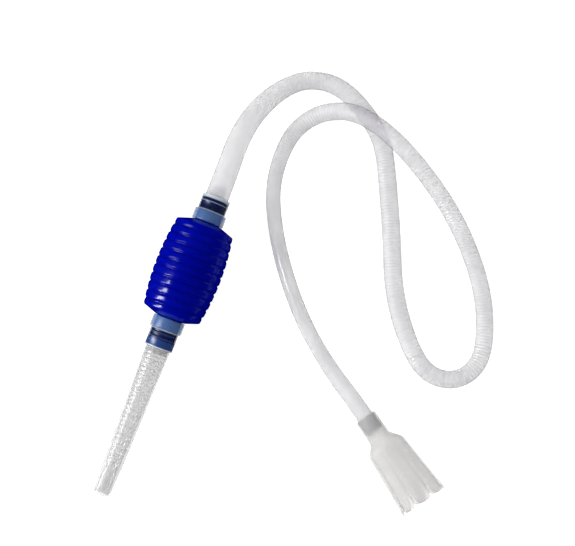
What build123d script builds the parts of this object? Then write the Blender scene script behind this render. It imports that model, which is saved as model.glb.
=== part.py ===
"""Gravel vacuum siphon: a ribbed squeeze bulb with a check valve in each neck, a tapered tail tube,
a long hose and a slotted strainer head.

Millimetres, +Z up. The pump lies along +Y with its hose end at +Y. It rests on the belly of its bulb
and on the tip of its tail tube, so its axis climbs a few degrees towards the hose. The origin is on
the floor, under the middle of the pump. The hose lies on the floor and crosses over itself once.
"""

from build123d import *
from math import atan2, cos, degrees, pi, radians, sin, tan
import os

os.makedirs("parts", exist_ok=True)

# Stations along the pump's axis, measured from the tip of the tail tube
pump_length = 316.0
tail_cuff_end = 28.4
outlet_shoulder = 186.2
inlet_shoulder = 288.6

# Bulb
bulb_middle_radius = 33.8
bulb_end_radius = 30.0
bulb_wall = 1.8
groove_count = 10
groove_pitch = 8.8
groove_half_width = 1.7
groove_depth = 1.7
rib_crown = 0.3
shoulder_radius = 15.2
corner_radius = 29.9
corner_depth = 5.2
corner_rounding = 3.0
neck_radius = 13.0
neck_bore = 11.2

# Couplings: one over each neck of the bulb
skirt_radius = 16.6
skirt_wall = 1.3
barrel_radius = 14.3
barrel_bore = 13.12
web_thickness = 1.5
spigot_wall = 1.3

# Seal rings between neck and coupling
seal_section = 0.5
seal_groove_depth = 0.95
seal_groove_width = 1.3
seal_spacing = 3.6

# Check valves: stations along the flow, measured from the seat's face
seat_thickness = 2.5
seat_port = 5.5
seat_lip = 0.6
flap_radius = 8.2
flap_thickness = 1.2
pin_radius = 1.4
pin_length = 8.6
valve_lift = 2.5
cage_thickness = 2.0
cage_boss_radius = 3.2
cage_arm_width = 2.0

# Tail tube
tail_tip_radius = 8.3
tail_cuff_radius = 9.6
tail_top_radius = 13.0
tail_bore = 7.0
tail_bore_length = 26.0
tail_wall = 1.5
tail_rib_pitch = 4.4
tail_rib_depth = 0.55

# Hose
hose_radius = 9.0
hose_bore = 7.2

# Strainer head: stations along its axis, measured from the open end of its neck
head_neck_x = 217.9
head_neck_y = 7.0
head_yaw = -34.8
head_length = 98.5
head_neck_length = 21.0
head_neck_radius = 11.2
head_body_start = 37.0
head_body_radius = 20.0
head_mouth_radius = 24.6
head_wall = 1.6
petal_count = 8
slot_width = 2.4
slot_depth = 11.0
notch_width = 6.0
notch_depth = 5.5
flute_depth = 0.8
flute_radius = 5.0
sleeve_wall = 0.95
sleeve_length = 16.0
sleeve_flange_radius = 10.9
sleeve_flange_thickness = 1.8
running_clearance = 0.05


# Grooves of the bulb, evenly spaced about its middle
bulb_middle = (outlet_shoulder + inlet_shoulder) / 2
groove_stations = [
    bulb_middle + (number - (groove_count - 1) / 2) * groove_pitch for number in range(groove_count)
]


def bulb_radius(station):
    """Radius of the bulb at a station, grooves aside: a shallow barrel."""
    across = (station - bulb_middle) / (groove_count * groove_pitch / 2)
    return bulb_middle_radius - (bulb_middle_radius - bulb_end_radius) * across**2


# The pump's place: its tilt is the line from the tail's tip to the lowest rib
rib_stations = [station + groove_pitch / 2 for station in groove_stations[:-1]]
rib_slopes = [(bulb_radius(s) + rib_crown - tail_tip_radius) / s for s in rib_stations]
tilt = atan2(max(rib_slopes), 1)
pump_direction = Vector(0, cos(tilt), sin(tilt))
tip_y = -(pump_length * cos(tilt) + (barrel_radius - tail_tip_radius) * sin(tilt)) / 2
tip_z = tail_tip_radius * cos(tilt)
tail_tip = Vector(0, tip_y, tip_z)
pump_axis = Axis(tail_tip, pump_direction)


def pump_point(station):
    """A point on the pump's axis."""
    return tail_tip + pump_direction * station


def half_section(origin, along):
    """A plane through an axis: its local X is the radius and its local Y runs along the axis."""
    across = Vector(1, 0, 0) if abs(along.X) < 0.1 else Vector(along.Y, -along.X, 0).normalized()
    return Plane(origin=origin, x_dir=across, z_dir=across.cross(along))


pump_side = half_section(tail_tip, pump_direction)


def bellows_line(inset, widening):
    """Grooves of the bulb's wall and the ribs between them, from the outlet end to the inlet end."""
    half_width = groove_half_width + widening
    for number, station in enumerate(groove_stations):
        start = (bulb_radius(station - half_width) - inset, station - half_width)
        end = (bulb_radius(station + half_width) - inset, station + half_width)
        ThreePointArc(start, (bulb_radius(station) - groove_depth - inset, station), end)
        if number + 1 < groove_count:
            rib = rib_stations[number]
            rib_end = groove_stations[number + 1] - half_width
            crest = (bulb_radius(rib) + rib_crown - inset, rib)
            ThreePointArc(end, crest, (bulb_radius(rib_end) - inset, rib_end))


# Bulb: blow-moulded in one piece with its two necks. Its ends are cones with a round corner.
outlet_neck_end = outlet_shoulder - 24.5
inlet_neck_end = inlet_shoulder + 23.6
inner_widening = 1.1
outlet_groove = groove_stations[0] - groove_half_width
inlet_groove = groove_stations[-1] + groove_half_width
inner_outlet_groove = outlet_groove - inner_widening
inner_inlet_groove = inlet_groove + inner_widening
inner_radius = corner_radius - 1.5
inner_depth = corner_depth + 1.3
inner_rise = 1.4

with BuildPart() as bulb:
    with BuildSketch(pump_side):
        with BuildLine():
            Polyline(
                (neck_bore, outlet_neck_end),
                (neck_radius, outlet_neck_end),
                (neck_radius, outlet_shoulder),
                (shoulder_radius, outlet_shoulder),
            )
            FilletPolyline(
                (shoulder_radius, outlet_shoulder),
                (corner_radius, outlet_shoulder + corner_depth),
                (bulb_radius(outlet_groove), outlet_groove),
                radius=corner_rounding,
            )
            bellows_line(0, 0)
            FilletPolyline(
                (bulb_radius(inlet_groove), inlet_groove),
                (corner_radius, inlet_shoulder - corner_depth),
                (shoulder_radius, inlet_shoulder),
                radius=corner_rounding,
            )
            Polyline(
                (shoulder_radius, inlet_shoulder),
                (neck_radius, inlet_shoulder),
                (neck_radius, inlet_neck_end),
                (neck_bore, inlet_neck_end),
                (neck_bore, inlet_shoulder - inner_rise),
                (inner_radius, inlet_shoulder - inner_depth),
                (bulb_radius(inner_inlet_groove) - bulb_wall, inner_inlet_groove),
            )
            bellows_line(bulb_wall, inner_widening)
            Polyline(
                (bulb_radius(inner_outlet_groove) - bulb_wall, inner_outlet_groove),
                (inner_radius, outlet_shoulder + inner_depth),
                (neck_bore, outlet_shoulder + inner_rise),
            )
            Line((neck_bore, outlet_shoulder + inner_rise), (neck_bore, outlet_neck_end))
        make_face()
    revolve(axis=pump_axis)
    # Two seal grooves round each neck
    with BuildSketch(pump_side):
        for ring_station in (outlet_shoulder - 16.0, inlet_shoulder + 17.4):
            for ring in range(2):
                centre = (neck_radius, ring_station + ring * seal_spacing)
                with Locations(centre):
                    Rectangle(2 * seal_groove_depth, seal_groove_width)
    revolve(axis=pump_axis, mode=Mode.SUBTRACT)
bulb.part.label = "bulb"
export_step(bulb.part, "parts/bulb.step")

# Everything that the two ends share. Stations here are measured outwards from the bulb's shoulder.
# The rim of the inlet end only surrounds the hose, and the tail tube is pushed into the other.
pump_ends = [
    {
        "name": "inlet",
        "side": half_section(pump_point(inlet_shoulder), pump_direction),
        "skirt": 11.6,
        "web": 24.0,
        "rim": pump_length - inlet_shoulder,
        "pocket": 12.5,
        "rim_radius": 14.1,
        "spigot": 7.1,
        "spigot_end": 39.8,
        "first_seal": 17.4,
        "seat": 17.8,
    },
    {
        "name": "outlet",
        "side": half_section(pump_point(outlet_shoulder), pump_direction * -1),
        "skirt": 12.6,
        "web": 25.0,
        "rim": 31.5,
        "pocket": tail_top_radius + 0.04,
        "rim_radius": barrel_radius,
        "spigot": 11.2,
        "spigot_end": 38.0,
        "first_seal": 12.4,
        "seat": 9.0,
    },
]

for end in pump_ends:
    side = end["side"]
    axis = Axis(side.origin, side.y_dir)
    web_top = end["web"] + web_thickness

    # Coupling: a wide skirt, a barrel tight on the neck, a web and a rim round the tube
    with BuildPart() as coupling:
        with BuildSketch(side):
            with BuildLine():
                Polyline(
                    (skirt_radius - skirt_wall, 0.5),
                    (skirt_radius, 0.5),
                    (skirt_radius, end["skirt"] - 0.8),
                    (skirt_radius - 0.8, end["skirt"]),
                    (barrel_radius, end["skirt"]),
                    (barrel_radius, web_top - 0.4),
                    (end["rim_radius"], web_top),
                    (end["rim_radius"], end["rim"]),
                    (end["pocket"], end["rim"]),
                    (end["pocket"], web_top),
                    (end["spigot"], web_top),
                    (end["spigot"], end["web"]),
                    (barrel_bore, end["web"]),
                    (barrel_bore, end["skirt"] - skirt_wall),
                    (skirt_radius - skirt_wall, end["skirt"] - skirt_wall),
                    close=True,
                )
            make_face()
        revolve(axis=axis)
    coupling.part.label = end["name"] + "_coupling"
    export_step(coupling.part, "parts/" + coupling.part.label + ".step")

    # Spigot: fixed in the web, and the tube pushes on over it
    with BuildPart() as spigot:
        with BuildSketch(side):
            with BuildLine():
                Polyline(
                    (end["spigot"] - spigot_wall, end["web"]),
                    (end["spigot"], end["web"]),
                    (end["spigot"], end["spigot_end"] - 2.0),
                    (end["spigot"] - 0.5, end["spigot_end"]),
                    (end["spigot"] - spigot_wall, end["spigot_end"]),
                    close=True,
                )
            make_face()
        revolve(axis=axis)
    spigot.part.label = end["name"] + "_spigot"
    export_step(spigot.part, "parts/" + spigot.part.label + ".step")

    # Seal rings in the neck's grooves
    for ring, place in enumerate(("inner", "outer")):
        ring_centre = (barrel_bore - seal_section - 0.02, end["first_seal"] + ring * seal_spacing)
        with BuildPart() as seal:
            with BuildSketch(side):
                with Locations(ring_centre):
                    Circle(seal_section)
            revolve(axis=axis)
        seal.part.label = end["name"] + "_seal_ring_" + place
        export_step(seal.part, "parts/" + seal.part.label + ".step")

    # The check valve stands in the neck's bore. Water runs from the hose to the tail in both valves.
    seat_face = side.origin + side.y_dir * end["seat"]
    flow = half_section(seat_face, pump_direction * -1)
    flow_axis = Axis(flow.origin, flow.y_dir)
    insert_radius = neck_bore - running_clearance
    flap_back = seat_lip + flap_thickness

    with BuildPart() as valve_seat:
        with BuildSketch(flow):
            with BuildLine():
                Polyline(
                    (seat_port, -seat_thickness),
                    (insert_radius, -seat_thickness),
                    (insert_radius, 0),
                    (seat_port + 1.2, 0),
                    (seat_port + 0.9, seat_lip),
                    (seat_port, seat_lip),
                    close=True,
                )
            make_face()
        revolve(axis=flow_axis)
    valve_seat.part.label = end["name"] + "_valve_seat"
    export_step(valve_seat.part, "parts/" + valve_seat.part.label + ".step")

    # Flap: a rubber disc, held on a pin that slides in the cage
    with BuildPart() as valve_flap:
        with BuildSketch(flow):
            with BuildLine():
                Polyline(
                    (pin_radius, seat_lip),
                    (flap_radius - 0.3, seat_lip),
                    (flap_radius, seat_lip + 0.3),
                    (flap_radius, flap_back - 0.3),
                    (flap_radius - 0.3, flap_back),
                    (pin_radius, flap_back),
                    close=True,
                )
            make_face()
        revolve(axis=flow_axis)
    valve_flap.part.label = end["name"] + "_valve_flap"
    export_step(valve_flap.part, "parts/" + valve_flap.part.label + ".step")

    with BuildPart() as valve_pin:
        with BuildSketch(flow):
            with BuildLine():
                Polyline(
                    (0, seat_lip - 1.0),
                    (3.0, seat_lip - 0.6),
                    (3.0, seat_lip),
                    (pin_radius, seat_lip),
                    (pin_radius, flap_back + pin_length - 0.5),
                    (pin_radius - 0.5, flap_back + pin_length),
                    (0, flap_back + pin_length),
                    close=True,
                )
            make_face()
        revolve(axis=flow_axis)
    valve_pin.part.label = end["name"] + "_valve_pin"
    export_step(valve_pin.part, "parts/" + valve_pin.part.label + ".step")

    # Cage: a ring with three arms and a boss that guides the pin and stops the flap
    boss_start = flap_back + valve_lift + 0.2
    cage_start = boss_start + 1.0
    cage_face = Plane(
        origin=flow.origin + flow.y_dir * cage_start, x_dir=flow.x_dir, z_dir=flow.y_dir
    )
    boss_face = cage_face.offset(boss_start - cage_start)
    with BuildPart() as valve_cage:
        with BuildSketch(cage_face):
            Circle(insert_radius)
            Circle(insert_radius - 1.5, mode=Mode.SUBTRACT)
            with PolarLocations(insert_radius / 2, 3):
                Rectangle(insert_radius - 1.0, cage_arm_width)
        extrude(amount=cage_thickness)
        with BuildSketch(boss_face):
            Circle(cage_boss_radius)
        extrude(amount=cage_start - boss_start + cage_thickness)
        with BuildSketch(boss_face):
            Circle(pin_radius + running_clearance)
        extrude(amount=cage_start - boss_start + cage_thickness, mode=Mode.SUBTRACT)
    valve_cage.part.label = end["name"] + "_valve_cage"
    export_step(valve_cage.part, "parts/" + valve_cage.part.label + ".step")

# Tail tube: a smooth cuff at the tip, then round ribs on a slow taper up to a plain top
tail_top = outlet_shoulder - pump_ends[1]["web"] - web_thickness
tail_rib_end = tail_top - 7.5
tail_rib_count = round((tail_rib_end - tail_cuff_end) / tail_rib_pitch)
tail_step = (tail_rib_end - tail_cuff_end) / tail_rib_count


def tail_radius(number):
    """Radius of the tube between its ribs, at the start of a numbered rib."""
    taper = tail_top_radius - tail_rib_depth - tail_cuff_radius
    return tail_cuff_radius + taper * number / tail_rib_count


with BuildPart() as tail_tube:
    with BuildSketch(pump_side):
        with BuildLine():
            Polyline(
                (tail_bore, 0),
                (tail_tip_radius - 0.4, 0),
                (tail_tip_radius, 0.6),
                (tail_cuff_radius, tail_cuff_end),
            )
            for rib in range(tail_rib_count):
                start = (tail_radius(rib), tail_cuff_end + rib * tail_step)
                end_point = (tail_radius(rib + 1), tail_cuff_end + (rib + 1) * tail_step)
                crown = (
                    (start[0] + end_point[0]) / 2 + tail_rib_depth,
                    (start[1] + end_point[1]) / 2,
                )
                ThreePointArc(start, crown, end_point)
            Polyline(
                (tail_top_radius - tail_rib_depth, tail_rib_end),
                (tail_top_radius, tail_rib_end + 1.5),
                (tail_top_radius, tail_top),
                (tail_top_radius - tail_wall, tail_top),
                (tail_top_radius - tail_wall, tail_top - 16.0),
                (tail_bore, tail_bore_length),
                (tail_bore, 0),
            )
        make_face()
    revolve(axis=pump_axis)
tail_tube.part.label = "tail_tube"
export_step(tail_tube.part, "parts/tail_tube.step")

# Strainer head's place: it rests along the flared side of its body
head_flare = atan2(head_mouth_radius - head_body_radius, head_length - head_body_start)
head_yaw_angle = radians(head_yaw)
head_direction = Vector(
    cos(head_flare) * cos(head_yaw_angle),
    cos(head_flare) * sin(head_yaw_angle),
    sin(head_flare),
)
head_neck_z = head_mouth_radius * cos(head_flare) - head_length * sin(head_flare)
head_neck = Vector(head_neck_x, head_neck_y, head_neck_z)
head_axis = Axis(head_neck, head_direction)
head_side = half_section(head_neck, head_direction)


def head_point(station):
    """A point on the strainer head's axis."""
    return head_neck + head_direction * station


# Hose: laid on the floor in one big loop that comes back over itself
hose_start = pump_point(inlet_shoulder + pump_ends[0]["web"] + web_thickness)
hose_route = [
    hose_start,
    hose_start + pump_direction * 30.0,
    (-3.0, 222.0, 41.0),
    (-0.5, 259.0, 25.0),
    (13.0, 296.0, 12.0),
    (36.0, 320.0, 9.0),
    (70.0, 325.0, 9.0),
    (106.0, 308.0, 9.0),
    (135.0, 283.0, 9.0),
    (153.0, 247.0, 9.0),
    (178.0, 192.0, 9.0),
    (200.0, 137.0, 9.0),
    (231.0, 94.0, 9.0),
    (258.0, 71.0, 9.0),
    (287.0, 72.0, 9.0),
    (306.0, 94.0, 9.0),
    (304.0, 127.0, 9.0),
    (282.0, 178.0, 9.0),
    (232.0, 236.0, 10.0),
    (160.0, 279.0, 31.0),
    (103.0, 298.0, 31.0),
    (67.0, 291.0, 18.0),
    (45.0, 267.0, 9.0),
    (39.5, 235.0, 9.0),
    (44.0, 196.0, 9.0),
    (62.0, 157.0, 9.0),
    (90.0, 115.0, 9.0),
    (127.0, 73.0, 9.0),
    (168.0, 40.0, 9.0),
    head_point(-20.0),
    head_point(sleeve_length),
]
hose_points = [Vector(point) for point in hose_route]
hose_runs = [(b - a).length for a, b in zip(hose_points, hose_points[1:])]
bend_radii = []
hose_length = sum(hose_runs)
for corner in range(1, len(hose_points) - 1):
    arriving = hose_points[corner] - hose_points[corner - 1]
    leaving = hose_points[corner + 1] - hose_points[corner]
    turn = arriving.get_angle(leaving)
    reach = 0.45 * min(arriving.length, leaving.length)
    bend = reach / tan(radians(turn / 2))
    bend_radii.append(bend)
    hose_length += bend * radians(turn) - 2 * reach

with BuildPart() as hose:
    with BuildLine() as route:
        FilletPolyline(*hose_points, radius=bend_radii)
    with BuildSketch(Plane(origin=hose_start, z_dir=pump_direction)):
        Circle(hose_radius)
        Circle(hose_bore, mode=Mode.SUBTRACT)
    sweep(path=route.line)
hose.part.label = "hose"
export_step(hose.part, "parts/hose.step")
print("hose bend radii:", [round(bend) for bend in bend_radii])
print("hose length:", round(hose_length, 1))
hose_area = pi * (hose_radius**2 - hose_bore**2)
print("hose volume / (section x length):", round(hose.part.volume / (hose_area * hose_length), 4))

# Seal sleeve: turns on the hose's end, and the strainer head pushes on over it
sleeve_bore = hose_radius + running_clearance
sleeve_radius = sleeve_bore + sleeve_wall
with BuildPart() as head_sleeve:
    with BuildSketch(head_side):
        with BuildLine():
            Polyline(
                (sleeve_bore, -sleeve_flange_thickness),
                (sleeve_flange_radius - 0.5, -sleeve_flange_thickness),
                (sleeve_flange_radius, -sleeve_flange_thickness + 0.5),
                (sleeve_flange_radius, -0.1),
                (sleeve_radius, -0.1),
                (sleeve_radius, sleeve_length - 0.6),
                (sleeve_radius - 0.4, sleeve_length),
                (sleeve_bore, sleeve_length),
                close=True,
            )
        make_face()
    revolve(axis=head_axis)
head_sleeve.part.label = "head_sleeve"
export_step(head_sleeve.part, "parts/head_sleeve.step")

# Strainer head: neck, shoulder and a flared body, cut into petals at the mouth
head_neck_bore = sleeve_radius + running_clearance
shoulder_middle = (head_neck_length + head_body_start) / 2
shoulder_middle_radius = (head_neck_radius + head_body_radius) / 2
slot_end = head_length - slot_depth

with BuildPart() as strainer_head:
    with BuildSketch(head_side):
        with BuildLine():
            Polyline(
                (head_neck_bore, 0),
                (head_neck_radius - 0.6, 0),
                (head_neck_radius, 1.5),
                (head_neck_radius, head_neck_length),
            )
            Spline(
                (head_neck_radius, head_neck_length),
                (shoulder_middle_radius, shoulder_middle - 1.5),
                (head_body_radius, head_body_start),
                tangents=((0, 1), (sin(head_flare), cos(head_flare))),
            )
            Polyline(
                (head_body_radius, head_body_start),
                (head_mouth_radius, head_length),
                (head_mouth_radius - head_wall, head_length),
                (head_body_radius - head_wall, head_body_start),
            )
            Spline(
                (head_body_radius - head_wall, head_body_start),
                (shoulder_middle_radius - head_wall, shoulder_middle),
                (head_neck_bore, head_neck_length + 0.5),
                tangents=((-sin(head_flare), -cos(head_flare)), (0, -1)),
            )
            Line((head_neck_bore, head_neck_length + 0.5), (head_neck_bore, 0))
        make_face()
    revolve(axis=head_axis)

    for petal in range(petal_count):
        slot_angle = (petal + 0.5) * 360 / petal_count
        outwards = head_side.x_dir.rotate(Axis((0, 0, 0), head_direction), slot_angle)
        # A slot with a round root, opening into a notch at the mouth
        slot_plane = Plane(
            origin=head_point(slot_end), x_dir=outwards.cross(head_direction), z_dir=outwards
        )
        with BuildSketch(slot_plane):
            with BuildLine():
                Polyline(
                    (-slot_width / 2, 0),
                    (-slot_width / 2, -slot_depth + notch_depth),
                    (-notch_width / 2, -slot_depth - 1.0),
                    (notch_width / 2, -slot_depth - 1.0),
                    (slot_width / 2, -slot_depth + notch_depth),
                    (slot_width / 2, 0),
                )
                ThreePointArc((slot_width / 2, 0), (0, slot_width / 2), (-slot_width / 2, 0))
            make_face()
        extrude(amount=head_mouth_radius + 5.0, mode=Mode.SUBTRACT)
        # A shallow flute along the body, from the shoulder to the slot
        flute_line = head_direction * cos(head_flare) + outwards * sin(head_flare)
        flute_offset = head_body_radius + flute_radius - flute_depth
        flute_plane = Plane(
            origin=head_point(head_body_start) + outwards * flute_offset, z_dir=flute_line
        )
        with BuildSketch(flute_plane.offset(-3.0)):
            Circle(flute_radius)
        extrude(amount=head_length - head_body_start + 6.0, mode=Mode.SUBTRACT)
strainer_head.part.label = "strainer_head"
export_step(strainer_head.part, "parts/strainer_head.step")

print("pump tilt:", round(degrees(tilt), 3), "tail tip:", tail_tip)
print("head flare:", round(degrees(head_flare), 3), "head neck:", head_neck)
print("head direction:", head_direction)
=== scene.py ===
import bisect
import bpy
import math
from mathutils import Vector, Matrix


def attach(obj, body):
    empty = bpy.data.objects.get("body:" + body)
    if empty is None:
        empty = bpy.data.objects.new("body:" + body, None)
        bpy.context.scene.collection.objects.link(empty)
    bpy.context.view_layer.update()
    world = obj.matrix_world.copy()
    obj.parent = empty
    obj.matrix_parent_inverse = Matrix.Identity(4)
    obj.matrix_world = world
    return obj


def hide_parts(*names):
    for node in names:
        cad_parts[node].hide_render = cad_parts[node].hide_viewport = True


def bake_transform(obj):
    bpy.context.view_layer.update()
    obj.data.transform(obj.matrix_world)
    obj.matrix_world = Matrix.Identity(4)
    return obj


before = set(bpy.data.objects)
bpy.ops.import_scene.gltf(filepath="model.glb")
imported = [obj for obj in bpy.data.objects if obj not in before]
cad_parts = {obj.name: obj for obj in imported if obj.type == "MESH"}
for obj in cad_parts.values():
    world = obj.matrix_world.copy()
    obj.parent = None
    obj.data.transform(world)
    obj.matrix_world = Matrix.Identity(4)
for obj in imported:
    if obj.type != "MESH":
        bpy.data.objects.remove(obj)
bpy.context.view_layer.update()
bpy.ops.object.select_all(action="DESELECT")

# ---------------------------------------------------------------------------------------------
# Camera: looks down on the floor from above the tail's side, a little past upright, and it is
# turned so that the pump climbs to the upper right.
# ---------------------------------------------------------------------------------------------
aim = Vector((0.0912, 0.1183, 0.0))
camera_place = Vector((0.1635, -0.0682, 1.1))
bpy.ops.object.camera_add(location=camera_place)
camera = bpy.context.object
camera.name = "overhead_camera"
camera.data.lens = 67.6
camera.data.sensor_width = 36.0
backward = (camera_place - aim).normalized()
picture_right = Vector((0.9325, 0.3613, 0.0))
picture_up = backward.cross(picture_right).normalized()
picture_right = picture_up.cross(backward)
camera.matrix_world = Matrix.Translation(camera_place) @ Matrix(
    (picture_right, picture_up, backward)
).transposed().to_4x4()
bpy.context.scene.camera = camera
bpy.context.scene.view_settings.view_transform = "Standard"


# ---------------------------------------------------------------------------------------------
# Bulb: soft blue plastic, blow-moulded in one piece with its two necks. Ten narrow grooves run
# round it, its ends are cones, and the mould's parting line shows along two sides. The pump lies
# on the bulb and on its tail's tip, so every piece of it is turned about one line that climbs
# towards the hose. Stations run along that line from the tail's tip, in millimetres.
# ---------------------------------------------------------------------------------------------
MM = 0.001
pump_tilt = math.radians(6.605)
tail_tip = Vector((0.0, -0.157296, 0.008245))
pump_direction = Vector((0.0, math.cos(pump_tilt), math.sin(pump_tilt)))


def pump_point(station):
    """A point on the pump's axis."""
    return tail_tip + pump_direction * (station * MM)


def stand(piece, start, along):
    """Turns a piece from the Z axis to its own axis, and moves it there."""
    across = Vector((1, 0, 0)) if abs(along.x) < 0.1 else Vector((along.y, -along.x, 0)).normalized()
    turn = Matrix((across, along.cross(across), along)).transposed().to_4x4()
    piece.data.transform(Matrix.Translation(start) @ turn)
    piece.data.update()


def turned(name, rings, segments=96, closed=False):
    """A round piece on the Z axis, made from a circle that is extruded and scaled ring by ring.
    Rings are (radius, station) in millimetres. A closed piece's last ring meets its first."""
    radius, height = rings[0]
    bpy.ops.mesh.primitive_circle_add(
        vertices=segments, radius=radius * MM, location=(0, 0, height * MM)
    )
    piece = bpy.context.object
    piece.name = name
    piece.data.name = name
    bpy.ops.object.mode_set(mode="EDIT")
    bpy.ops.mesh.select_all(action="SELECT")
    for next_radius, next_height in rings[1:]:
        bpy.ops.mesh.extrude_region_move(
            TRANSFORM_OT_translate={"value": (0, 0, (next_height - height) * MM)}
        )
        scale = next_radius / radius
        bpy.ops.transform.resize(
            value=(scale, scale, 1.0), center_override=(0, 0, next_height * MM)
        )
        radius, height = next_radius, next_height
    bpy.ops.mesh.select_all(action="SELECT")
    if closed:
        bpy.ops.mesh.remove_doubles(threshold=0.00001)
    bpy.ops.mesh.normals_make_consistent(inside=False)
    bpy.ops.object.mode_set(mode="OBJECT")
    bpy.ops.object.transform_apply(location=True, rotation=False, scale=False)
    bpy.ops.object.shade_smooth()
    return piece


def rounded(before, corner, after, radius, steps=6):
    """Rings round a corner of an outline, from a tangent point to the other."""
    corner = Vector(corner)
    back = (Vector(before) - corner).normalized()
    ahead = (Vector(after) - corner).normalized()
    half = back.angle(ahead) / 2
    centre = corner + (back + ahead).normalized() * (radius / math.sin(half))
    start = corner + back * (radius / math.tan(half)) - centre
    finish = corner + ahead * (radius / math.tan(half)) - centre
    mixed = [start.lerp(finish, step / steps).normalized() for step in range(steps + 1)]
    return [tuple(centre + spoke * radius) for spoke in mixed]


def thicken(piece, wall):
    """Gives a skin its wall, inwards, and applies it."""
    bpy.context.view_layer.objects.active = piece
    shell = piece.modifiers.new("wall", "SOLIDIFY")
    shell.thickness = wall * MM
    shell.offset = -1.0
    bpy.ops.object.modifier_apply(modifier="wall")


outlet_shoulder = 186.2
inlet_shoulder = 288.6
bulb_middle = (outlet_shoulder + inlet_shoulder) / 2
groove_count = 10
groove_pitch = 8.8
groove_half_width = 2.2
groove_depth = 0.85
bulb_half_length = groove_count * groove_pitch / 2
bulb_middle_radius = 33.8
barrel_drop = 3.8


def bulb_radius(station):
    """Radius at a station, grooves aside: a shallow barrel."""
    return bulb_middle_radius - barrel_drop * ((station - bulb_middle) / bulb_half_length) ** 2


def groove_share(station):
    """1 on a groove's floor, 0 from its edges on."""
    turn = (station - bulb_middle) / groove_pitch + 0.5
    away = abs(turn - round(turn)) * groove_pitch / groove_half_width
    return math.cos(math.pi / 2 * min(away, 1.0)) ** 2


corner_depth = 5.2
outlet_corner = outlet_shoulder + corner_depth
inlet_corner = inlet_shoulder - corner_depth
first_groove = bulb_middle - (groove_count - 1) / 2 * groove_pitch
last_groove = bulb_middle + (groove_count - 1) / 2 * groove_pitch
neck = 13.0
shoulder_radius = 15.2
corner_radius = 29.9
corner_rounding = 2.6
bulb_rings = [(neck, outlet_shoulder - 24.5), (neck, outlet_shoulder - 12.0)]
bulb_rings += [(neck, outlet_shoulder - 0.6), (13.5, outlet_shoulder - 0.1)]
bulb_rings += [(shoulder_radius, outlet_shoulder), (20.0, outlet_shoulder + 1.7)]
bulb_rings += rounded(
    (shoulder_radius, outlet_shoulder),
    (corner_radius, outlet_corner),
    (bulb_radius(first_groove), first_groove),
    corner_rounding,
)
groove_start = first_groove - groove_half_width
grooved_length = last_groove - first_groove + 2 * groove_half_width
groove_rings = round(grooved_length / 0.4)
rib_crown = 0.3
crown_rise = 3.0
for number in range(groove_rings + 1):
    station = groove_start + number * grooved_length / groove_rings
    from_ends = min(station - first_groove, last_groove - station)
    crown = rib_crown * min(max(from_ends / crown_rise, 0.0), 1.0) * (1 - groove_share(station))
    bulb_rings.append((bulb_radius(station) + crown - groove_depth * groove_share(station), station))
bulb_rings += rounded(
    (bulb_radius(last_groove), last_groove),
    (corner_radius, inlet_corner),
    (shoulder_radius, inlet_shoulder),
    corner_rounding,
)
bulb_rings += [(20.0, inlet_shoulder - 1.7), (shoulder_radius, inlet_shoulder)]
bulb_rings += [(13.5, inlet_shoulder + 0.1), (neck, inlet_shoulder + 0.6)]
bulb_rings += [(neck, inlet_shoulder + 10.0), (neck, inlet_shoulder + 23.6)]

bulb = turned("squeeze_bulb", bulb_rings, segments=120)
# The parting line: a low ridge along both sides
seam_height = 0.00016
for vertex in bulb.data.vertices:
    spoke = Vector((vertex.co.x, vertex.co.y, 0))
    if abs(spoke.y) < spoke.length * 0.02 and spoke.length > 0.0155:
        vertex.co += spoke.normalized() * seam_height
thicken(bulb, 1.5)
stand(bulb, tail_tip, pump_direction)


class Field:
    """A shader socket. Its operators add Math nodes, and its make() adds any other node."""

    def __init__(self, tree, socket):
        self.tree = tree
        self.socket = socket

    def make(self, kind, output=0, settings=None, **values):
        """Adds a node: its settings first, then its inputs by name (or in0, in1 by number)."""
        node = self.tree.nodes.new(kind)
        for name, value in (settings or {}).items():
            if name == "stops":
                ramp = node.color_ramp
                while len(ramp.elements) < len(value):
                    ramp.elements.new(0.5)
                for element, (place, colour) in zip(ramp.elements, value):
                    element.position = place
                    element.color = (*colour, 1.0)
            else:
                setattr(node, name, value)
        for name, value in values.items():
            if name.startswith("in") and name[2:].isdigit():
                socket = node.inputs[int(name[2:])]
            else:
                socket = node.inputs[name.replace("_", " ")]
            if isinstance(value, Field):
                self.tree.links.new(value.socket, socket)
            else:
                socket.default_value = value
        return Field(self.tree, node.outputs[output])

    def maths(self, operation, *others):
        inputs = {f"in{number}": value for number, value in enumerate((self, *others))}
        return self.make("ShaderNodeMath", settings={"operation": operation}, **inputs)

    def vector(self, operation, other, output=0):
        return self.make(
            "ShaderNodeVectorMath", output=output, settings={"operation": operation},
            in0=self, in1=other,
        )

    def __add__(self, other):
        return self.maths("ADD", other)

    def __sub__(self, other):
        return self.maths("SUBTRACT", other)

    def __rsub__(self, other):
        minus = self.maths("MULTIPLY", -1.0)
        return minus.maths("ADD", other)

    def __mul__(self, other):
        return self.maths("MULTIPLY", other)

    __radd__ = __add__
    __rmul__ = __mul__


def new_material(name, **constants):
    """A Principled material with its constant values set on their own sockets."""
    material = bpy.data.materials.new(name)
    material.use_nodes = True
    shader = material.node_tree.nodes["Principled BSDF"]
    for socket, value in constants.items():
        shader.inputs[socket.replace("_", " ")].default_value = value
    place = material.node_tree.nodes.new("ShaderNodeTexCoord")
    return material, shader, Field(material.node_tree, place.outputs["Object"])


def feed(material, shader, socket, field):
    """Links a varying field to one of the shader's inputs."""
    material.node_tree.links.new(field.socket, shader.inputs[socket])


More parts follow.
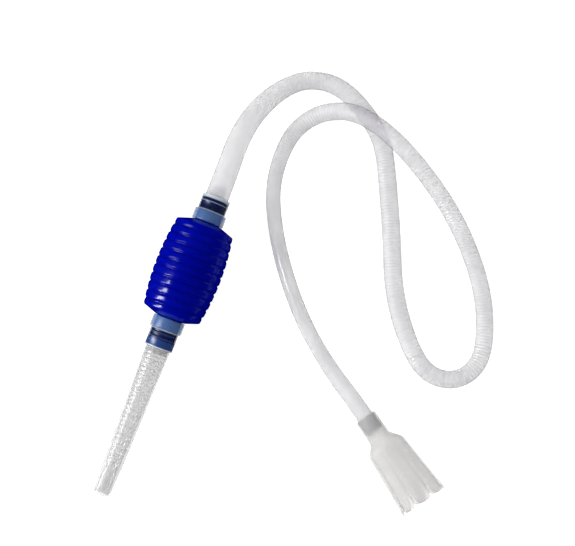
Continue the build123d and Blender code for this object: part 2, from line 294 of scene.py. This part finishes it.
def moulded_finish(material, shader, place, colours, grain, roughness, bump):
    """Uneven moulded plastic: clouds of slightly different colour, shine and level. The colours
    are a darker and a lighter one, or a field that already varies."""
    cloud = place.make("ShaderNodeTexNoise", Vector=place, Scale=grain, Detail=4.0)
    fine = place.make("ShaderNodeTexNoise", Vector=place, Scale=grain * 9.0, Detail=3.0)
    if isinstance(colours, Field):
        feed(material, shader, "Base Color", colours)
    else:
        stops = list(zip((0.3, 0.7), colours))
        clouded = place.make("ShaderNodeValToRGB", settings={"stops": stops}, Fac=cloud)
        feed(material, shader, "Base Color", clouded)
    feed(material, shader, "Roughness", fine * 0.12 + (roughness - 0.06))
    level = cloud * 0.7 + fine * 0.3
    relief = place.make("ShaderNodeBump", Strength=bump, Distance=0.0004, Height=level)
    feed(material, shader, "Normal", relief)


def dress(piece, material):
    """Gives a piece one material."""
    piece.data.materials.clear()
    piece.data.materials.append(material)


def dress_node(node, material):
    """Gives a CAD node a material without touching its mesh."""
    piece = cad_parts[node]
    if piece.material_slots:
        for slot in piece.material_slots:
            slot.material = material
    else:
        piece.data.materials.append(material)


bulb_blue, bulb_shader, bulb_place = new_material(
    "bulb_blue_plastic", IOR=1.38, Subsurface_Weight=1.0, Subsurface_Scale=0.01,
    Subsurface_Radius=(0.2, 0.2, 1.0),
)
moulded_finish(
    bulb_blue, bulb_shader, bulb_place,
    colours=((0.0, 0.002, 0.34), (0.001, 0.004, 0.38)), grain=45.0, roughness=0.14, bump=0.05,
)
dress(bulb, bulb_blue)
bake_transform(bulb)
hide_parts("bulb")

# ---------------------------------------------------------------------------------------------
# Couplings: clear moulded plastic, pushed over the necks. The wide skirt stands off the neck and looks
# pale, the barrel grips it and looks dark, and beads and a rim run round the barrel. Each bead is painted
# paler than the barrel: a painted highlight line round it.
# ---------------------------------------------------------------------------------------------
couplings = [
    {
        "end": "inlet",
        "body": "pump",
        "shoulder": inlet_shoulder,
        "outwards": 1,
        "skirt": 11.6,
        "beads": (20.9,),
        "dark_end": 24.4,
        "web": 24.0,
        "rim": 27.4,
        "pocket": 12.5,
        "spigot": 7.1,
        "lip": (0.60, 0.72, 0.85),
        # bead: the paler colour painted along each bead, a painted highlight line
        "bead": (0.42, 0.54, 0.76),
    },
    {
        "end": "outlet",
        "body": "outlet_end",
        "shoulder": outlet_shoulder,
        "outwards": -1,
        "skirt": 12.6,
        "beads": (16.6, 21.2),
        "dark_end": 22.6,
        "web": 25.0,
        "rim": 31.5,
        "pocket": 13.04,
        "spigot": 11.2,
        "lip": (0.004, 0.06, 0.30),
        # bead: the paler colour painted along each bead, a painted highlight line
        "bead": (0.06, 0.12, 0.34),
    },
]
barrel = 14.3
skirt_tint = (0.13, 0.29, 0.64)
barrel_tint = (0.001, 0.014, 0.085)
rim_tint = (0.78, 0.86, 0.92)
for coupling in couplings:
    skirt = coupling["skirt"]
    web = coupling["web"]
    rim = coupling["rim"]
    pocket = coupling["pocket"]
    rings = [(15.3, 0.9), (15.6, 0.5), (16.2, 0.5), (16.55, 0.85), (16.6, 2.0)]
    rings += [(16.6, skirt - 1.2), (16.4, skirt - 0.4), (15.8, skirt), (barrel + 0.4, skirt + 0.1)]
    rings.append((barrel, skirt + 0.5))
    for bead in coupling["beads"]:
        rings += [(barrel, bead - 0.9), (barrel + 0.2, bead - 0.45), (barrel + 0.28, bead)]
        rings += [(barrel + 0.2, bead + 0.45), (barrel, bead + 0.9)]
    rings += [(barrel, rim - 1.9), (barrel + 0.05, rim - 1.2), (barrel + 0.05, rim - 0.5)]
    rings += [(barrel - 0.25, rim), (pocket + 0.3, rim), (pocket, rim - 0.4), (pocket, web + 1.5)]
    rings += [(coupling["spigot"], web + 1.5), (coupling["spigot"], web), (13.12, web)]
    rings += [(13.12, skirt - 1.3), (15.3, skirt - 1.3), (15.3, 0.9)]
    piece = turned(coupling["end"] + "_coupling_clear", rings, segments=96, closed=True)
    shoulder = pump_point(coupling["shoulder"])
    outwards = pump_direction * coupling["outwards"]
    stand(piece, shoulder, outwards)

    clear, clear_shader, clear_place = new_material(
        coupling["end"] + "_coupling_plastic", Coat_Weight=1.0, Coat_Roughness=0.32, IOR=1.55
    )
    # Station from the shoulder outwards, as a share of the coupling's length
    offset = clear_place.vector("SUBTRACT", shoulder)
    share = offset.vector("DOT_PRODUCT", outwards / (rim * MM), output=1)
    dark_end = coupling["dark_end"]
    tints = [(0.0, skirt_tint), (skirt - 0.6, skirt_tint), (skirt + 0.1, rim_tint)]
    tints.append((skirt + 1.2, barrel_tint))
    for bead in coupling["beads"]:
        # Each bead gets its paler colour across the dark barrel: a painted highlight line
        tints += [(bead - 0.8, barrel_tint), (bead, coupling["bead"]), (bead + 0.8, barrel_tint)]
    tints += [(dark_end - 0.4, barrel_tint), (dark_end + 0.4, coupling["lip"])]
    tints += [(rim - 1.6, coupling["lip"]), (rim - 0.8, rim_tint)]
    stops = [(station / rim, tint) for station, tint in tints]
    tinted = share.make("ShaderNodeValToRGB", settings={"stops": stops}, Fac=share)
    thick = [(0.0, 0.42), (skirt - 0.6, 0.42), (skirt + 0.1, 0.75), (skirt + 1.2, 0.5)]
    thick += [(dark_end - 0.4, 0.5), (dark_end + 0.8, 0.8)]
    stops = [(station / rim, (opacity,) * 3) for station, opacity in thick]
    opaque = share.make("ShaderNodeValToRGB", settings={"stops": stops}, Fac=share)
    feed(clear, clear_shader, "Alpha", opaque)
    moulded_finish(
        clear, clear_shader, clear_place,
        colours=tinted, grain=90.0, roughness=0.38, bump=0.3,
    )
    dress(piece, clear)
    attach(piece, coupling["body"])
    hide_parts(coupling["end"] + "_coupling")

spigot_clear, spigot_shader, spigot_place = new_material("spigot_plastic", Alpha=0.18, IOR=1.49)
moulded_finish(
    spigot_clear, spigot_shader, spigot_place,
    colours=((0.62, 0.68, 0.74), (0.72, 0.78, 0.82)), grain=120.0, roughness=0.3, bump=0.05,
)

rubber, rubber_shader, rubber_place = new_material("seal_rubber")
moulded_finish(
    rubber, rubber_shader, rubber_place,
    colours=((0.004, 0.005, 0.02), (0.010, 0.012, 0.04)), grain=300.0, roughness=0.45, bump=0.2,
)
valve_plastic, valve_shader, valve_place = new_material("valve_plastic")
moulded_finish(
    valve_plastic, valve_shader, valve_place,
    colours=((0.55, 0.58, 0.60), (0.66, 0.68, 0.70)), grain=160.0, roughness=0.35, bump=0.2,
)
for end in ("inlet", "outlet"):
    dress_node(f"{end}_spigot", spigot_clear)
    for place in ("inner", "outer"):
        dress_node(f"{end}_seal_ring_{place}", rubber)
    dress_node(f"{end}_valve_flap", rubber)
    for part in ("seat", "pin", "cage"):
        dress_node(f"{end}_valve_{part}", valve_plastic)

# ---------------------------------------------------------------------------------------------
# Tail tube: milky plastic with a smooth cuff at its tip. Round ribs run up a slow taper to the
# plain top that is pushed into the coupling.
# ---------------------------------------------------------------------------------------------
cuff_end = 28.4
tail_top = 159.7
tail_rib_end = tail_top - 7.5
tail_rib_count = 28
tail_pitch = (tail_rib_end - cuff_end) / tail_rib_count
tail_rings = [(7.0, 0.35), (7.3, 0.08), (7.65, 0.0), (8.0, 0.08), (8.25, 0.4)]
tail_rings += [(8.35, 2.0), (8.7, 9.0), (9.1, 18.0), (9.45, 26.0), (9.55, cuff_end)]
rings_per_rib = 8
rib_swell = 0.18
for number in range(1, tail_rib_count * rings_per_rib + 1):
    rib = number / rings_per_rib
    swell = math.sin(math.pi * (rib % 1.0)) ** 1.5 if rib % 1.0 else 0.0
    base = 9.65 + (12.55 - 9.65) * rib / tail_rib_count
    tail_rings.append((base + rib_swell * swell, cuff_end + rib * tail_pitch))
tail_rings += [(12.9, tail_rib_end + 0.8), (13.0, tail_rib_end + 1.6), (13.0, tail_top), (11.5, tail_top)]
tail_rings += [(11.4, tail_top - 16.0), (7.0, 26.0), (7.0, 10.0), (7.0, 0.35)]
tail_tube = turned("tail_tube_ribbed", tail_rings, segments=72, closed=True)
stand(tail_tube, tail_tip, pump_direction)

milky, milky_shader, milky_place = new_material(
    "milky_plastic", Alpha=0.32, IOR=1.45, Coat_Weight=1.0, Coat_Roughness=0.06,
    Subsurface_Weight=1.0, Subsurface_Scale=0.02, Subsurface_Radius=(1.0, 1.0, 1.0),
)
moulded_finish(
    milky, milky_shader, milky_place,
    colours=((0.44, 0.43, 0.46), (0.55, 0.54, 0.56)), grain=60.0, roughness=0.22, bump=0.08,
)
dress(tail_tube, milky)
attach(tail_tube, "outlet_end")
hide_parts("tail_tube")

# ---------------------------------------------------------------------------------------------
# Hose: milky corrugated tube, moulded with a smooth wide cuff at the pump and a long plain end.
# It leaves the coupling, comes down to the floor, and crosses over itself once.
# ---------------------------------------------------------------------------------------------
hose_route = [
    (0.0, 0.15472, 0.04437),
    (0.0, 0.18452, 0.04783),
    (-0.003, 0.222, 0.041),
    (-0.0005, 0.259, 0.0255),
    (0.013, 0.296, 0.0135),
    (0.036, 0.320, 0.010),
    (0.070, 0.325, 0.010),
    (0.106, 0.308, 0.010),
    (0.135, 0.283, 0.010),
    (0.153, 0.247, 0.010),
    (0.178, 0.192, 0.010),
    (0.200, 0.137, 0.010),
    (0.231, 0.094, 0.010),
    (0.258, 0.071, 0.010),
    (0.287, 0.072, 0.0095),
    (0.306, 0.094, 0.0095),
    (0.304, 0.127, 0.0095),
    (0.282, 0.178, 0.0095),
    (0.232, 0.236, 0.0105),
    (0.160, 0.279, 0.031),
    (0.103, 0.298, 0.031),
    (0.067, 0.291, 0.018),
    (0.045, 0.267, 0.0095),
    (0.0395, 0.235, 0.0088),
    (0.044, 0.196, 0.0082),
    (0.062, 0.157, 0.008),
    (0.090, 0.115, 0.008),
    (0.127, 0.073, 0.008),
    (0.168, 0.040, 0.009),
    (0.20152, 0.01838, 0.01569),
    (0.23100, -0.00211, 0.01838),
]
line_data = bpy.data.curves.new("hose_line", "CURVE")
line_data.dimensions = "3D"
line_data.resolution_u = 32
line = line_data.splines.new("NURBS")
line.points.add(len(hose_route) - 1)
for point, place in zip(line.points, hose_route):
    point.co = (*place, 1.0)
line.order_u = 3
line.use_endpoint_u = True
line_object = bpy.data.objects.new("hose_line", line_data)
bpy.context.collection.objects.link(line_object)
line_mesh = bpy.data.meshes.new_from_object(line_object)
line_points = [vertex.co.copy() for vertex in line_mesh.vertices]
bpy.data.objects.remove(line_object)
bpy.data.meshes.remove(line_mesh)
travelled = [0.0]
for near, far in zip(line_points, line_points[1:]):
    travelled.append(travelled[-1] + (far - near).length)
hose_length = travelled[-1]


def along_hose(distance):
    """The point on the hose's line at a distance from its start."""
    index = min(max(bisect.bisect_right(travelled, distance) - 1, 0), len(line_points) - 2)
    part = (distance - travelled[index]) / (travelled[index + 1] - travelled[index])
    return line_points[index].lerp(line_points[index + 1], part)


# Outer radius at distances along the hose, in metres
hose_widths = [
    (0.0, 0.0121), (0.05, 0.0117), (0.12, 0.0111), (0.165, 0.0098), (0.48, 0.0097),
    (0.56, 0.0091), (0.66, 0.0091), (0.88, 0.0090), (0.93, 0.0095), (0.985, 0.0086),
    (1.045, 0.0077), (1.22, 0.0077), (1.27, 0.0084), (1.5, 0.0088),
]
cuff_length = 0.092
ribs_end = 1.035
rib_spacing = 0.0032
rib_height = 0.0004
rings_in_rib = 6
plain_step = 0.003


def hose_radius(distance):
    """Outer radius at a distance along the hose, ribs aside."""
    for (start, near), (finish, far) in zip(hose_widths, hose_widths[1:]):
        if distance <= finish:
            return near + (far - near) * (distance - start) / (finish - start)
    return hose_widths[-1][1]


hose_stations = []
distance = 0.0
while distance < hose_length:
    hose_stations.append(distance)
    ribbed = cuff_length <= distance < ribs_end
    distance += rib_spacing / rings_in_rib if ribbed else plain_step
hose_stations.append(hose_length)

hose_sides = 32
hose_centres = [along_hose(distance) for distance in hose_stations]
hose_vertices = []
ring_side = Vector((1, 0, 0))
for number, (distance, centre) in enumerate(zip(hose_stations, hose_centres)):
    ahead = along_hose(min(distance + 0.002, hose_length))
    behind = along_hose(max(distance - 0.002, 0.0))
    heading = (ahead - behind).normalized()
    ring_side = (ring_side - heading * ring_side.dot(heading)).normalized()
    ring_top = heading.cross(ring_side)
    radius = hose_radius(distance)
    if cuff_length <= distance < ribs_end:
        fade = min((distance - cuff_length) / 0.02, (ribs_end - distance) / 0.05, 1.0)
        phase = (distance - cuff_length) / rib_spacing * 2 * math.pi
        radius -= rib_height * fade * (0.5 + 0.5 * math.cos(phase)) ** 1.5
    for side in range(hose_sides):
        angle = side / hose_sides * 2 * math.pi
        hose_vertices.append(
            centre + ring_side * (radius * math.cos(angle)) + ring_top * (radius * math.sin(angle))
        )
hose_faces = []
for ring in range(len(hose_stations) - 1):
    for side in range(hose_sides):
        beside = (side + 1) % hose_sides
        hose_faces.append((
            ring * hose_sides + side,
            ring * hose_sides + beside,
            (ring + 1) * hose_sides + beside,
            (ring + 1) * hose_sides + side,
        ))
# Flat ends close the mesh
last_ring = (len(hose_stations) - 1) * hose_sides
hose_faces.append(tuple(reversed(range(hose_sides))))
hose_faces.append(tuple(range(last_ring, last_ring + hose_sides)))
hose_mesh = bpy.data.meshes.new("hose_corrugated")
hose_mesh.from_pydata(hose_vertices, [], hose_faces)
hose_mesh.validate()
hose = bpy.data.objects.new("hose_corrugated", hose_mesh)
bpy.context.collection.objects.link(hose)
for face in hose_mesh.polygons:
    face.use_smooth = len(face.vertices) == 4

hose_milky, hose_shader, hose_place = new_material(
    "hose_milky_vinyl", Alpha=0.5, Coat_Weight=1.0, Coat_Roughness=0.08, IOR=1.45,
    Subsurface_Weight=1.0, Subsurface_Scale=0.02, Subsurface_Radius=(1.0, 1.0, 1.0),
)
moulded_finish(
    hose_milky, hose_shader, hose_place,
    colours=((0.66, 0.65, 0.69), (0.80, 0.79, 0.82)), grain=30.0, roughness=0.22, bump=0.06,
)
dress(hose, hose_milky)
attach(hose, "pump")
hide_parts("hose")

# ---------------------------------------------------------------------------------------------
# Strainer head: thin milky plastic, moulded in one piece. Its neck pushes over a soft sleeve on
# the hose. Eight petals with slots between them make the mouth, and a crease runs up from each slot.
# ---------------------------------------------------------------------------------------------
head_neck = Vector((0.2179, 0.007, 0.017185))
head_direction = Vector((0.818862, -0.569124, 0.074588))
head_length = 98.5
body_start = 37.0
body_radius = 20.0
mouth_radius = 24.6
neck_radius = 11.2
petals = 8
columns_per_petal = 16
slot_start = head_length - 11.0


def body_skin(station):
    """Radius of the flared body, from the shoulder to the mouth."""
    along = (station - body_start) / (head_length - body_start)
    return body_radius + (mouth_radius - body_radius) * along


neck_end = 22.0
neck_end_radius = 11.25
shoulder_rings = 14
body_rings = 26
slot_rings = 12
head_rings = [(10.5, 0.0), (10.9, 0.5), (neck_radius, 1.5), (neck_radius, 7.0)]
head_rings += [(neck_radius, 14.0), (neck_end_radius, neck_end)]
for number in range(1, shoulder_rings + 1):
    part = number / shoulder_rings
    ease = part * part * (3 - 2 * part)
    radius = neck_end_radius + (body_radius - neck_end_radius) * ease
    head_rings.append((radius, neck_end + (body_start - neck_end) * part))
for number in range(1, body_rings + 1):
    station = body_start + (slot_start - body_start) * number / body_rings
    head_rings.append((body_skin(station), station))
for number in range(1, slot_rings + 1):
    station = slot_start + (head_length - slot_start) * number / slot_rings
    head_rings.append((body_skin(station), station))
head = turned("strainer_head_milky", head_rings, segments=petals * columns_per_petal)
# The slots: two columns of faces between each pair of petals come out
bpy.ops.object.mode_set(mode="EDIT")
bpy.ops.mesh.select_mode(type="FACE")
bpy.ops.mesh.select_all(action="DESELECT")
bpy.ops.object.mode_set(mode="OBJECT")
half_petal = math.pi / petals
column = 2 * math.pi / (petals * columns_per_petal)


def petal_angle(angle):
    """Angle from the middle of the nearest petal."""
    return (angle + half_petal) % (2 * half_petal) - half_petal


for face in head.data.polygons:
    from_petal = petal_angle(math.atan2(face.center.y, face.center.x))
    face.select = face.center.z > slot_start * MM and abs(from_petal) > half_petal - column * 1.01
bpy.ops.object.mode_set(mode="EDIT")
bpy.ops.mesh.delete(type="FACE")
bpy.ops.object.mode_set(mode="OBJECT")
for vertex in head.data.vertices:
    station = vertex.co.z / MM
    radius = math.hypot(vertex.co.x, vertex.co.y) / MM
    angle = math.atan2(vertex.co.y, vertex.co.x)
    from_petal = petal_angle(angle)
    middle = angle - from_petal
    # Each petal is rounder than the mouth, so a crease runs up from the slot to the neck
    depth = 0.9 * min(max((station - 20.0) / 30.0, 0.0), 1.0)
    radius -= depth * (from_petal / half_petal) ** 4
    if station > slot_start:
        down = (station - slot_start) / (head_length - slot_start)
        gap = 1.15 + 2.2 * max(down - 0.45, 0.0) ** 1.5 / 0.55**1.5
        if down < 0.12:
            gap *= 0.75
        half_width = half_petal - gap / radius
        from_petal *= half_width / (half_petal - column)
        share = from_petal / half_width
        station -= 1.5 * abs(share) ** 4 * down**2
        radius += 0.35 * down * math.cos(share * 2.0)
    vertex.co = (
        radius * MM * math.cos(middle + from_petal),
        radius * MM * math.sin(middle + from_petal),
        station * MM,
    )
thicken(head, 1.5)
stand(head, head_neck, head_direction)
for face in head.data.polygons:
    face.use_smooth = True
head.data.update()

head_milky, head_shader, head_place = new_material(
    "head_milky_plastic", Alpha=0.36, Coat_Weight=0.8, Coat_Roughness=0.1, IOR=1.49,
    Subsurface_Weight=1.0, Subsurface_Scale=0.02, Subsurface_Radius=(1.0, 1.0, 1.0),
)
moulded_finish(
    head_milky, head_shader, head_place,
    colours=((0.78, 0.77, 0.80), (0.92, 0.88, 0.85)), grain=28.0, roughness=0.26, bump=0.08,
)
dress(head, head_milky)
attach(head, "strainer")
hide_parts("strainer_head")

sleeve_clear, sleeve_shader, sleeve_place = new_material(
    "sleeve_soft_plastic", Alpha=0.22, Coat_Weight=0.3, Coat_Roughness=0.2
)
moulded_finish(
    sleeve_clear, sleeve_shader, sleeve_place,
    colours=((0.88, 0.88, 0.90), (0.95, 0.95, 0.96)), grain=120.0, roughness=0.3, bump=0.1,
)
dress_node("head_sleeve", sleeve_clear)

# ---------------------------------------------------------------------------------------------
# Studio: a pale floor under an even sky, and one tall strip light for shade and shine. Only the
# strip shows in the shine, so that dark plastic keeps its colour.
# ---------------------------------------------------------------------------------------------
bpy.ops.mesh.primitive_plane_add(size=40.0, location=(aim.x, aim.y, -0.0004))
floor = bpy.context.object
floor.name = "studio_floor"
floor_paint, floor_shader, floor_place = new_material(
    "floor_paint", Roughness=0.9, Specular_IOR_Level=0.0, Emission_Strength=0.75
)
floor_shader.inputs["Base Color"].default_value = (0.95, 0.95, 0.93, 1.0)
floor_shader.inputs["Emission Color"].default_value = (1.0, 1.0, 0.97, 1.0)
floor.visible_diffuse = False
floor.visible_glossy = False
dress(floor, floor_paint)

world = bpy.context.scene.world or bpy.data.worlds.new("studio_world")
bpy.context.scene.world = world
world.use_nodes = True
sky = world.node_tree.nodes["Background"]
sky.inputs["Color"].default_value = (1.0, 1.0, 1.0, 1.0)
sky.inputs["Strength"].default_value = 0.56
world.cycles_visibility.glossy = False

# The key is a tall strip, low on the left of the picture and towards the tail's end
key_place = aim + Vector((-0.84, -0.36, 0.54)).normalized() * 2.0
bpy.ops.object.light_add(type="AREA", location=key_place)
key = bpy.context.object
key.name = "key_light"
key.data.shape = "RECTANGLE"
key.data.size = 0.25
key.data.size_y = 1.3
key.data.energy = 27.0
key.rotation_euler = (key_place - aim).to_track_quat("Z", "Y").to_euler()
